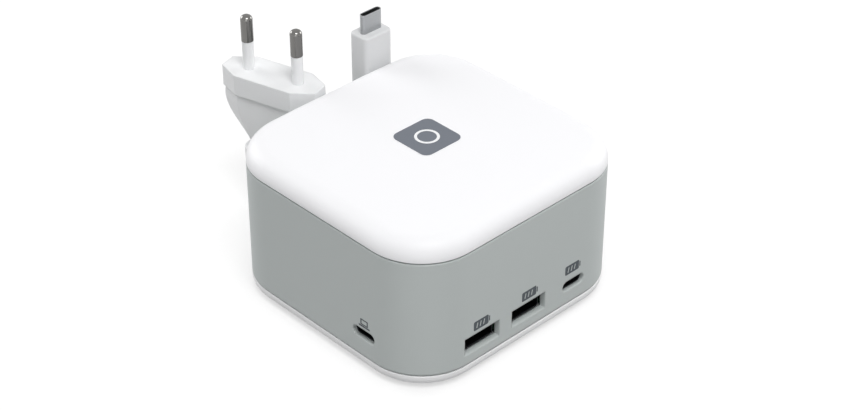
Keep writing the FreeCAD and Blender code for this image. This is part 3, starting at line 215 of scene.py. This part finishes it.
def moulded(name, colour, roughness, grain_mm, depth_mm, spread, edge_mm=0.0):
    """Moulded plastic: a slightly cloudy colour, a spark-eroded grain and, where it has one, a soft edge."""
    material, tree, shader = fresh_material(name, IOR=PLASTIC_IOR)
    place = put(tree, "ShaderNodeTexCoord")
    where = [("Vector", place.outputs["Object"])]
    cloud = put(
        tree, "ShaderNodeTexNoise",
        [("Scale", per_metre(CLOUD_MM)), ("Detail", 3.0), ("Roughness", 0.6)], where,
    )
    # The clouds run from the colour as given to one that is dimmer by twice the spread
    bright = tuple(colour)
    dim = tuple(c * (1 - 2 * spread) for c in bright[:3]) + (1.0,)
    shade = put(
        tree, "ShaderNodeMix", [(MIX_FIRST, dim), (MIX_SECOND, bright)],
        [("Factor", cloud.outputs["Fac"])], data_type="RGBA",
    )
    gloss = put(
        tree, "ShaderNodeMapRange",
        [("To Min", roughness - CLOUD_GLOSS), ("To Max", roughness + CLOUD_GLOSS)],
        [("Value", cloud.outputs["Fac"])],
    )
    grain = put(tree, "ShaderNodeTexNoise", [("Scale", per_metre(grain_mm)), ("Detail", 2.0)], where)
    bump = put(tree, "ShaderNodeBump", [("Distance", depth_mm * MM)], [("Height", grain.outputs["Fac"])])
    if edge_mm:
        soft = put(tree, "ShaderNodeBevel", [("Radius", edge_mm * MM)], samples=8)
        tree.links.new(soft.outputs["Normal"], bump.inputs["Normal"])
    tree.links.new(shade.outputs[MIX_RESULT], shader.inputs["Base Color"])
    tree.links.new(gloss.outputs["Result"], shader.inputs["Roughness"])
    tree.links.new(bump.outputs["Normal"], shader.inputs["Normal"])
    return material


def metal(name, code, roughness, grain_mm, depth_mm):
    """Plain or plated metal with a fine grain that is drawn out from front to rear."""
    material, tree, shader = fresh_material(
        name, Base_Color=linear(code), Metallic=1.0, Roughness=roughness)
    place = put(tree, "ShaderNodeTexCoord")
    stretch = put(
        tree, "ShaderNodeMapping", [("Scale", (1.0, GRAIN_STRETCH, 1.0))],
        [("Vector", place.outputs["Object"])],
    )
    grain = put(
        tree, "ShaderNodeTexNoise", [("Scale", per_metre(grain_mm)), ("Detail", 4.0)],
        [("Vector", stretch.outputs["Vector"])],
    )
    gloss = put(
        tree, "ShaderNodeMapRange",
        [("To Min", roughness - GRAIN_GLOSS), ("To Max", roughness + GRAIN_GLOSS)],
        [("Value", grain.outputs["Fac"])],
    )
    bump = put(
        tree, "ShaderNodeBump", [("Strength", 0.6), ("Distance", depth_mm * MM)],
        [("Height", grain.outputs["Fac"])],
    )
    tree.links.new(gloss.outputs["Result"], shader.inputs["Roughness"])
    tree.links.new(bump.outputs["Normal"], shader.inputs["Normal"])
    return material


def finish_node(names, material):
    """Gives CAD nodes a material."""
    for name in names:
        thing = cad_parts[name]
        thing.data.materials.clear()
        thing.data.materials.append(material)


def rounded_box(x0, x1, y0, y1, corner, steps=6):
    """Points round a rectangle with round corners, anticlockwise from the lower right corner."""
    right, left, low, high = x1 - corner, x0 + corner, y0 + corner, y1 - corner
    points = []
    for i, (x, y) in enumerate([(right, low), (right, high), (left, high), (left, low)]):
        for j in range(steps + 1):
            angle = math.radians(90 * (i - 1 + j / steps))
            points.append((x + corner * math.cos(angle), y + corner * math.sin(angle)))
    return points


def mark(x0, x1, z0, z1, corner):
    """A rounded box of a print, from millimetres."""
    return rounded_box(x0 * MM, x1 * MM, z0 * MM, z1 * MM, corner * MM)


def add_piece(name, mesh, material):
    """Links a new piece that rides on the dock."""
    mesh.materials.append(material)
    thing = bpy.data.objects.new(name, mesh)
    bpy.context.scene.collection.objects.link(thing)
    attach(thing, "root")
    return thing


def print_mesh(name, figures, to_space, rise):
    """A print as a thin closed sheet; each figure is an outline followed by the outlines of its holes."""
    bm = bmesh.new()
    for loops in figures:
        edges = []
        for loop in loops:
            spots = [bm.verts.new((u, v, 0.0)) for u, v in loop]
            edges += [bm.edges.new((spots[i - 1], spots[i])) for i in range(len(spots))]
        bmesh.ops.triangle_fill(bm, use_beauty=True, use_dissolve=False, edges=edges)
    bmesh.ops.recalc_face_normals(bm, faces=bm.faces)
    sheet = list(bm.faces)
    raised = bmesh.ops.extrude_face_region(bm, geom=sheet)
    for vert in (item for item in raised["geom"] if isinstance(item, bmesh.types.BMVert)):
        vert.co.z = rise
    for vert in bm.verts:
        vert.co = to_space(vert.co.x, vert.co.y, vert.co.z)
    bmesh.ops.recalc_face_normals(bm, faces=bm.faces)
    mesh = bpy.data.meshes.new(name)
    bm.to_mesh(mesh)
    bm.free()
    return mesh


class DOCK_OT_case(bpy.types.Operator):
    """Finishes the cap, the band, the tray and the feet"""

    bl_idname = "dock.case"
    bl_label = "Case"

    def execute(self, context):
        colours = context.scene.dock_colours
        # Fine satin ABS: a clean white that shades softly round the edge and mirrors no lamp
        cap = moulded(
            "moulded_white_abs", colours.cap, roughness=0.5, grain_mm=1.2, depth_mm=0.003, spread=0.004)
        # Textured ABS: a matt grey; the real 0.1 mm grain is drawn at 0.5 mm so that it shows
        band = moulded(
            "textured_grey_abs", colours.band, roughness=0.56, grain_mm=0.5, depth_mm=0.02, spread=0.012,
            edge_mm=0.8)
        # Satin ABS of the base: white, with a little more sheen than the cap and soft edges
        tray = moulded(
            "satin_white_abs", colours.tray, roughness=0.45, grain_mm=0.8, depth_mm=0.006, spread=0.01,
            edge_mm=0.5)
        # Cast silicone rubber: near black, dull, faintly cloudy
        feet = moulded(
            "silicone_rubber", linear("#26282A"), roughness=0.8, grain_mm=0.6, depth_mm=0.03, spread=0.05)
        finish_node(["top_cap"], cap)
        finish_node(["side_band"], band)
        finish_node(["base_tray"], tray)
        finish_node(["rubber_feet"], feet)
        return {"FINISHED"}


class DOCK_OT_sockets(bpy.types.Operator):
    """Finishes the sockets"""

    bl_idname = "dock.sockets"
    bl_label = "Sockets"

    def execute(self, context):
        # Drawn steel with black nickel: dark, with a soft grey glint
        shells = metal("black_nickel_steel", "#4A4C4F", roughness=0.34, grain_mm=0.3, depth_mm=0.004)
        # Moulded liquid-crystal polymer: near-black insulators with a low sheen
        insulators = moulded(
            "black_lcp", linear("#2E3134"), roughness=0.5, grain_mm=0.4, depth_mm=0.01, spread=0.05)
        # Gold flash over copper: warm, bright, smooth
        contacts = metal("gold_flashed_copper", "#D8B25C", roughness=0.25, grain_mm=0.2, depth_mm=0.002)
        usb_a = ("1", "2")
        usb_c = ("front", "host")
        finish_node([f"usb_a_shell_{end}" for end in usb_a], shells)
        finish_node([f"usb_c_shell_{end}" for end in usb_c] + ["display_shell"], shells)
        finish_node([f"usb_a_tongue_{end}" for end in usb_a], insulators)
        finish_node([f"usb_c_tongue_{end}" for end in usb_c], insulators)
        finish_node(["display_tongue", "network_housing"], insulators)
        finish_node([f"usb_a_contacts_{end}" for end in usb_a] + ["network_contacts"], contacts)
        return {"FINISHED"}


class DOCK_OT_insides(bpy.types.Operator):
    """Finishes the boards and what stands on them"""

    bl_idname = "dock.insides"
    bl_label = "Insides"

    def execute(self, context):
        # Glass-fibre laminate under solder mask: a glossy, slightly uneven green
        boards = moulded(
            "solder_masked_laminate", linear("#1E5A3A"), roughness=0.35, grain_mm=0.8, depth_mm=0.01,
            spread=0.08)
        # Filled epoxy: matt black chip and connector bodies
        epoxy = moulded(
            "black_epoxy", linear("#1B1C1D"), roughness=0.6, grain_mm=0.3, depth_mm=0.01, spread=0.05)
        # Sintered ferrite: dark grey and dull, with a fine grain
        ferrite = moulded(
            "sintered_ferrite", linear("#3A3B3D"), roughness=0.65, grain_mm=0.4, depth_mm=0.03, spread=0.06)
        # Polyester tape round the windings: yellow, with a slight sheen
        tape = moulded(
            "polyester_tape", linear("#D9B23A"), roughness=0.4, grain_mm=1.5, depth_mm=0.02, spread=0.05)
        # Shrink sleeve round the aluminium cans: a blue-grey with some gloss
        cans = moulded(
            "shrink_sleeve", linear("#3E4A63"), roughness=0.35, grain_mm=2.0, depth_mm=0.01, spread=0.05)
        # Extruded aluminium: bright, with fine lines along the fins
        sink = metal("extruded_aluminium", "#C9CBCE", roughness=0.38, grain_mm=0.4, depth_mm=0.006)
        # Zinc-plated steel: cool grey, with a slightly uneven gloss
        zinc = metal("zinc_plated_steel", "#B9BCC0", roughness=0.32, grain_mm=0.6, depth_mm=0.004)
        finish_node(["hub_board", "power_board", "riser_front", "riser_host"], boards)
        finish_node(["hub_chip", "board_link"], epoxy)
        finish_node(["transformer_core"], ferrite)
        finish_node(["transformer_coil", "mains_choke"], tape)
        finish_node(["bulk_capacitors"], cans)
        finish_node(["heat_sink"], sink)
        finish_node(["base_screws", "board_spacers", "board_screws"], zinc)
        return {"FINISHED"}


class DOCK_OT_prints(bpy.types.Operator):
    """Prints the battery marks over the front sockets and the laptop mark over the host socket"""

    bl_idname = "dock.prints"
    bl_label = "Prints"

    def execute(self, context):
        # Pad-printing ink: a thin slate film, slightly duller than the plastic
        ink = moulded(
            "pad_print_ink", context.scene.dock_colours.ink, roughness=0.6, grain_mm=0.3, depth_mm=0.004,
            spread=0.04)
        rise = context.scene.dock_sizes.ink_rise
        gap = PRINT_GAP * MM

        def on_front(u, v, w):
            return Vector((u, FRONT - gap - w, SEAM_LOW + v))

        def on_left(u, v, w):
            return Vector((LEFT - gap - w, -u, SEAM_LOW + v))

        for count, start in enumerate(BATTERY_STARTS, 1):
            mesh = print_mesh(f"battery_mark_{count}", self.battery(start), on_front, rise)
            add_piece(f"battery_mark_{count}", mesh, ink)
        mesh = print_mesh("laptop_mark", self.laptop(), on_left, rise)
        add_piece("laptop_mark", mesh, ink)
        return {"FINISHED"}

    def battery(self, start):
        """A solid cell with leaning charge bars left open, and the nub at its end."""
        end = start + BATTERY_WIDTH
        shell = mark(start, end, BATTERY_LOW, BATTERY_HIGH, BATTERY_CORNER)
        low, high = BATTERY_LOW + BAR_MARGIN, BATTERY_HIGH - BAR_MARGIN
        bars = []
        for i in range(BAR_COUNT):
            left = start + BAR_START + BAR_STEP * i
            top = left + BAR_LEAN
            corners = [(left, low), (left + BAR_WIDTH, low), (top + BAR_WIDTH, high), (top, high)]
            bars.append([(u * MM, v * MM) for u, v in corners])
        nub_start = end + NUB_GAP
        nub = mark(
            nub_start, nub_start + NUB_WIDTH, BATTERY_LOW + NUB_MARGIN, BATTERY_HIGH - NUB_MARGIN, NUB_CORNER)
        return [[shell] + bars, [nub]]

    def laptop(self):
        """A screen with its glass left open, over a base line."""
        left, right = LAPTOP_MIDDLE - SCREEN_HALF, LAPTOP_MIDDLE + SCREEN_HALF
        screen = mark(left, right, SCREEN_LOW, SCREEN_HIGH, SCREEN_CORNER)
        glass = mark(
            left + RIM_SIDE, right - RIM_SIDE, SCREEN_LOW + RIM_LEVEL, SCREEN_HIGH - RIM_LEVEL, GLASS_CORNER)
        foot = mark(
            LAPTOP_MIDDLE - FOOT_HALF, LAPTOP_MIDDLE + FOOT_HALF, FOOT_LOW, FOOT_HIGH, FOOT_CORNER)
        return [[screen, glass], [foot]]


class DOCK_OT_badge(bpy.types.Operator):
    """Sets a plain badge with a ring on the middle of the cap"""

    bl_idname = "dock.badge"
    bl_label = "Badge"

    def execute(self, context):
        sizes, colours = context.scene.dock_sizes, context.scene.dock_colours
        # Screen-printed acrylic: an even slate grey with a smooth, slightly shiny face
        plate = moulded(
            "printed_acrylic", colours.badge, roughness=0.3, grain_mm=0.6, depth_mm=0.002, spread=0.02)
        # Screen-printing ink: a plain white film, a little duller than the acrylic
        white = moulded(
            "white_screen_ink", linear("#F2F3F4"), roughness=0.45, grain_mm=0.4, depth_mm=0.003, spread=0.01)
        # The crown falls away from the middle, by its whole rise at the side of the band
        reach = BAND_HIGH.x

        def on_cap(u, v, w):
            return Vector((u, v, CROWN + w - CROWN_RISE * (u * u + v * v) / (reach * reach)))

        half = sizes.badge_side / 2
        outline = rounded_box(-half, half, -half, half, sizes.badge_corner, BADGE_STEPS)
        mesh = print_mesh("cap_badge", [[outline]], on_cap, sizes.badge_rise)
        badge = add_piece("cap_badge", mesh, plate)
        soft = badge.modifiers.new("edge", "BEVEL")
        soft.width = BADGE_BEVEL * MM
        soft.segments = 2
        turns = [math.tau * i / RING_STEPS for i in range(RING_STEPS)]
        loops = [
            [(math.cos(turn) * radius, math.sin(turn) * radius) for turn in turns]
            for radius in (sizes.ring_radius, sizes.ring_radius - sizes.ring_width)
        ]
        start = sizes.badge_rise + PRINT_GAP * MM
        mesh = print_mesh("badge_ring", [loops], lambda u, v, w: on_cap(u, v, w + start), sizes.ink_rise)
        add_piece("badge_ring", mesh, white)
        return {"FINISHED"}


class DOCK_OT_leads(bpy.types.Operator):
    """Lays the mains lead with its hank and the USB-C lead, and finishes their plugs"""

    bl_idname = "dock.leads"
    bl_label = "Leads"

    def execute(self, context):
        sizes, colours = context.scene.dock_sizes, context.scene.dock_colours
        # Soft PVC sheath: pale grey, dull, faintly grainy
        sheath = moulded(
            "soft_grey_pvc", colours.cord, roughness=0.55, grain_mm=0.7, depth_mm=0.02, spread=0.02)
        # Rigid moulded PVC of the mains plug: very pale grey with a slight sheen and soft edges
        plug = moulded(
            "moulded_grey_pvc", colours.plug, roughness=0.45, grain_mm=0.6, depth_mm=0.01, spread=0.015,
            edge_mm=0.6)
        # Moulded elastomer of the small plug: a deeper pale grey with the same sheen and soft edges
        boot = moulded(
            "moulded_grey_tpe", colours.boot, roughness=0.45, grain_mm=0.6, depth_mm=0.01, spread=0.015,
            edge_mm=0.6)
        # Nickel on brass: smooth, a mid grey with a sharp glint on each pin
        nickel = metal("nickel_plated_brass", "#777674", roughness=0.12, grain_mm=0.3, depth_mm=0.001)
        # Drawn stainless steel of the small plug: light grey with a soft glint
        steel = metal("drawn_stainless_steel", "#A9ABAD", roughness=0.3, grain_mm=0.3, depth_mm=0.002)
        # Woven hook-and-loop tape: black nylon, dull; its loops are drawn at 0.6 mm
        strap = moulded(
            "nylon_loop_tape", linear("#1E2022"), roughness=0.85, grain_mm=0.6, depth_mm=0.12, spread=0.12)
        finish_node(["mains_gland", "lead_gland", "plug_relief"], sheath)
        finish_node(["mains_plug", "pin_sleeves"], plug)
        finish_node(["lead_plug"], boot)
        finish_node(["plug_pins"], nickel)
        finish_node(["lead_plug_tip"], steel)
        tie = self.tie(sizes.strap, strap)
        mains = self.lay("mains_lead", MAINS_NEAR + self.hank() + MAINS_FAR, sizes.mains_radius, sheath)
        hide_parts("mains_hank", "mains_cord_near", "mains_cord_far")
        short = self.lay("host_lead", HOST_LEAD, sizes.lead_radius, sheath)
        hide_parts("lead_cord")
        return {"FINISHED"}

    def hank(self):
        """Points of the turns, one above the other, from the first rear fold to the last near run."""
        # The spline runs inside its points, so those of a fold stand a little outside its circle
        half = FOLD_STEP // 2
        reach = HANK_FOLD / math.cos(math.radians(half))
        points = []

        def fold(end, angles, heights):
            for degrees, height in zip(angles, heights):
                angle = math.radians(degrees)
                points.append((HANK_X + reach * math.cos(angle), end + reach * math.sin(angle), height))

        for turn in range(HANK_TURNS):
            level = HANK_LEVEL + turn * HANK_STEP
            fold(HANK_REAR, range(90 - half, 0, -FOLD_STEP), repeat(level))
            points.extend((HANK_X + HANK_FOLD, y, level) for y in HANK_RUN)
            fold(HANK_FRONT, range(-half, -180, -FOLD_STEP), repeat(level))
            points.extend((HANK_X - HANK_FOLD, y, level) for y in reversed(HANK_RUN[1:]))
            if turn < HANK_TURNS - 1:
                points.append((HANK_X - HANK_FOLD, HANK_RUN[0], level))
                climb = [level + share * HANK_STEP for share in HANK_CLIMB]
                fold(HANK_REAR, range(180 - half, 90, -FOLD_STEP), climb)
        return points

    def tie(self, thick, material):
        """A strap round the hank's near run, closed over its own start, with a round tail that stands off."""
        low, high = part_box("hank_tie")
        half = thick / 2
        side = high.x - half
        start = low.z + STRAP_START * MM
        reach = start - low.z - half
        corner_steps = 6
        around = rounded_box(
            low.x + half, side, low.z + half, high.z - half, STRAP_CORNER * MM, corner_steps)
        quarter = [math.radians(90 * i / LAP_STEPS - 90) for i in range(LAP_STEPS + 1)]
        over = [(side + thick - reach + reach * math.cos(a), start + reach * math.sin(a)) for a in quarter]
        tail = [(over[-1][0] + out * MM, start + up * MM) for out, up in STRAP_TAIL]
        # The path starts above the lower right corner, and the lap comes round below its start and up outside
        path = [(side, start)] + around[corner_steps + 1 :] + over + tail
        widths = [1.0] * (len(path) - len(STRAP_TIP)) + STRAP_TIP
        # The tape's section: through it in metres, and along its width from -1 to 1
        section = rounded_box(-half, half, -1.0, 1.0, STRAP_EDGE * MM, 3)
        middle, breadth = (low.y + high.y) / 2, (high.y - low.y) / 2
        bm = bmesh.new()
        rings = []
        for i, (x, z) in enumerate(path):
            before, after = Vector(path[max(i - 1, 0)]), Vector(path[min(i + 1, len(path) - 1)])
            along = (after - before).normalized()
            wide = breadth * widths[i]
            spots = [(x + along.y * w, middle + v * wide, z - along.x * w) for w, v in section]
            rings.append([bm.verts.new(spot) for spot in spots])
        for one, two in zip(rings, rings[1:]):
            for i in range(len(section)):
                bm.faces.new((one[i - 1], one[i], two[i], two[i - 1]))
        bm.faces.new(rings[0])
        bm.faces.new(rings[-1])
        bmesh.ops.recalc_face_normals(bm, faces=bm.faces)
        for face in bm.faces:
            face.smooth = True
        mesh = bpy.data.meshes.new("hank_strap")
        bm.to_mesh(mesh)
        bm.free()
        piece = add_piece("hank_strap", mesh, material)
        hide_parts("hank_tie")
        return piece

    def lay(self, name, route, radius, material):
        """One smooth lead whose control points are the route's."""
        curve = bpy.data.curves.new(name, "CURVE")
        curve.dimensions = "3D"
        spline = curve.splines.new("NURBS")
        spline.points.add(len(route) - 1)
        for point, spot in zip(spline.points, route):
            point.co = [c * MM for c in spot] + [1.0]
        spline.order_u = 3
        spline.use_endpoint_u = True
        spline.resolution_u = 8
        curve.bevel_depth = radius
        curve.bevel_resolution = 5
        curve.use_fill_caps = True
        return add_piece(name, curve, material)


class DOCK_OT_stage(bpy.types.Operator):
    """Sets the floor, the light and the camera"""

    bl_idname = "dock.stage"
    bl_label = "Stage"

    def execute(self, context):
        scene = context.scene
        scene.view_settings.view_transform = "Standard"
        self.floor(scene)
        self.world(scene)
        self.lamps(scene)
        self.camera(scene)
        return {"FINISHED"}

    def seen(self, tree):
        """One for rays that show the background: straight from the camera, mirrored or through glass."""
        paths = put(tree, "ShaderNodeLightPath").outputs
        indirect = put(
            tree, "ShaderNodeMath", (), [(0, paths["Is Glossy Ray"]), (1, paths["Is Transmission Ray"])],
            operation="MAXIMUM",
        )
        either = put(
            tree, "ShaderNodeMath", (), [(0, paths["Is Camera Ray"]), (1, indirect.outputs[0])],
            operation="MAXIMUM",
        )
        return either.outputs[0]

    def floor(self, scene):
        """A wide sheet of paper that keeps the dock's shadow, with a painted shadow added next to the case.
        """
        mesh = bpy.data.meshes.new("floor")
        corners = [(x * FLOOR_HALF, y * FLOOR_HALF, 0) for x, y in ((-1, -1), (1, -1), (1, 1), (-1, 1))]
        mesh.from_pydata(corners, [], [(0, 1, 2, 3)])
        # Matt grey paper that glows to white where it is seen: less at the case, where the dimmer glow is a
        # painted shadow, and more far from the lamps
        material, tree, shader = fresh_material(
            "studio_paper", Base_Color=linear("#A0A0A0"), Roughness=0.9)
        # Painted shadow: ambient occlusion dims the floor's glow within a short reach of the case
        painted_shadow = put(tree, "ShaderNodeAmbientOcclusion", [("Distance", PAINTED_SHADOW_REACH)], samples=24)
        level = put(
            tree, "ShaderNodeMapRange", [("To Min", GLOW_IN_PAINTED_SHADOW), ("To Max", GLOW_OPEN)],
            [("Value", painted_shadow.outputs["AO"])],
        )
        place = put(tree, "ShaderNodeTexCoord")
        away = put(tree, "ShaderNodeVectorMath", (), [(0, place.outputs["Object"])], operation="LENGTH")
        far = put(
            tree, "ShaderNodeMapRange", [("From Min", FAR_FROM), ("From Max", FAR_TO), ("To Max", GLOW_FAR)],
            [("Value", away.outputs["Value"])],
        )
        glow = put(tree, "ShaderNodeMath", (), [(0, level.outputs["Result"]), (1, far.outputs["Result"])])
        lift = put(
            tree, "ShaderNodeMath", (), [(0, self.seen(tree)), (1, glow.outputs[0])], operation="MULTIPLY",
        )
        shader.inputs["Emission Color"].default_value = (1, 1, 1, 1)
        tree.links.new(lift.outputs[0], shader.inputs["Emission Strength"])
        mesh.materials.append(material)
        floor = bpy.data.objects.new("floor", mesh)
        scene.collection.objects.link(floor)

    def world(self, scene):
        """A white background that lights the dock only softly."""
        world = bpy.data.worlds.new("studio")
        scene.world = world
        world.use_nodes = True
        tree = world.node_tree
        tree.nodes.clear()
        level = put(
            tree, "ShaderNodeMapRange", [("To Min", SKY_LIGHT), ("To Max", SKY_SEEN)],
            [("Value", self.seen(tree))],
        )
        sky = put(
            tree, "ShaderNodeBackground", [("Color", (1, 1, 1, 1))], [("Strength", level.outputs["Result"])],
        )
        put(tree, "ShaderNodeOutputWorld", (), [("Surface", sky.outputs["Background"])])

    def lamps(self, scene):
        """Round soft lamps: one above, and one each at the near corner, the rear and the right side."""
        for name, place, watts in LAMPS:
            lamp = bpy.data.lights.new(name, "AREA")
            lamp.shape = "DISK"
            lamp.size = LAMP_SIZE
            lamp.energy = watts
            thing = bpy.data.objects.new(name, lamp)
            thing.location = place
            thing.rotation_euler = (LAMP_AIM - Vector(place)).to_track_quat("-Z", "Y").to_euler()
            scene.collection.objects.link(thing)

    def camera(self, scene):
        """The photograph's view."""
        eye = bpy.data.cameras.new("camera")
        eye.sensor_width = SENSOR
        eye.lens = LENS
        eye.shift_y = SHIFT_Y
        thing = bpy.data.objects.new("camera", eye)
        level = math.cos(ELEVATION)
        away = Vector((math.sin(AZIMUTH) * level, -math.cos(AZIMUTH) * level, math.sin(ELEVATION)))
        thing.location = EYE_TARGET + EYE_DISTANCE * away
        thing.rotation_euler = (-away).to_track_quat("-Z", "Y").to_euler()
        scene.collection.objects.link(thing)
        scene.camera = thing


class DOCK_PT_looks(bpy.types.Panel):
    """Lists the steps that dress the dock"""

    bl_idname = "DOCK_PT_looks"
    bl_label = "Docking station"
    bl_space_type = "VIEW_3D"
    bl_region_type = "UI"
    bl_category = "Dock"

    def draw(self, context):
        for step in STEPS:
            self.layout.operator(step.bl_idname)
        for group in (context.scene.dock_colours, context.scene.dock_sizes):
            for name in group.__annotations__:
                self.layout.prop(group, name)


STEPS = (
    DOCK_OT_stage, DOCK_OT_leads, DOCK_OT_case, DOCK_OT_sockets, DOCK_OT_insides, DOCK_OT_prints,
    DOCK_OT_badge,
)
CLASSES = (DockColours, DockSizes) + STEPS + (DOCK_PT_looks,)


def register():
    for item in CLASSES:
        bpy.utils.register_class(item)
    bpy.types.Scene.dock_colours = PointerProperty(type=DockColours)
    bpy.types.Scene.dock_sizes = PointerProperty(type=DockSizes)


def unregister():
    del bpy.types.Scene.dock_sizes
    del bpy.types.Scene.dock_colours
    for item in reversed(CLASSES):
        bpy.utils.unregister_class(item)


def main():
    register()
    bpy.ops.dock.stage()
    bpy.ops.dock.leads()
    bpy.ops.dock.case()
    bpy.ops.dock.sockets()
    bpy.ops.dock.insides()
    bpy.ops.dock.prints()
    bpy.ops.dock.badge()


if __name__ == "__main__":
    main()
